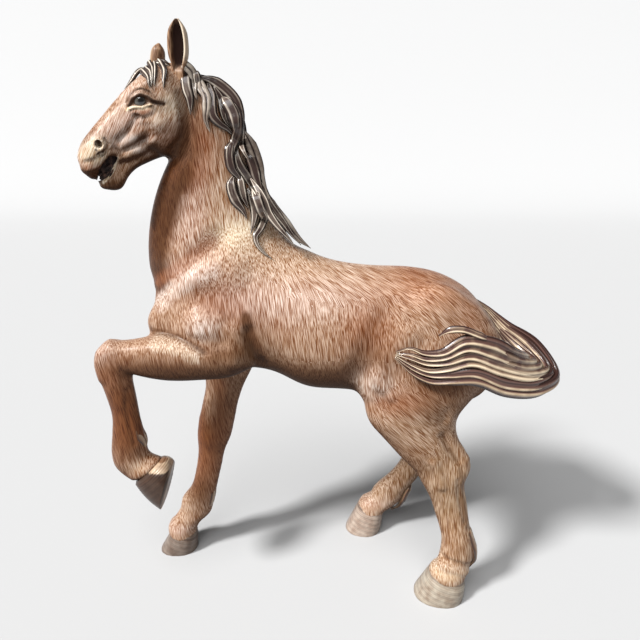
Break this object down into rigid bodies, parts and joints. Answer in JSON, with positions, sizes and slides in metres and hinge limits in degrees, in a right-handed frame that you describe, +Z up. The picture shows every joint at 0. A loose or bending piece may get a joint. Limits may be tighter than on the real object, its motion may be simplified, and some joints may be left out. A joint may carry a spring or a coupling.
{
  "type": "ceramic horse sculpture",
  "caption": "Glazed ceramic horse figure that stands on its own hooves, with a raised foreleg, turned head, combed mane and a curling tail.",
  "frame": {"origin": "on the ground under the middle of the horse's bounding box", "axes": "+Z up from the ground, -X the way the body faces, -Y the horse's left side, where the foreleg is raised and the tail is swept"},
  "size_m": [0.4499, 0.1475, 0.564],
  "materials": {
    "glaze": "glossy warm brown glaze with fine combed strokes"
  },
  "bodies": {
    "root": {"horse": "glaze"}
  },
  "joints": []
}
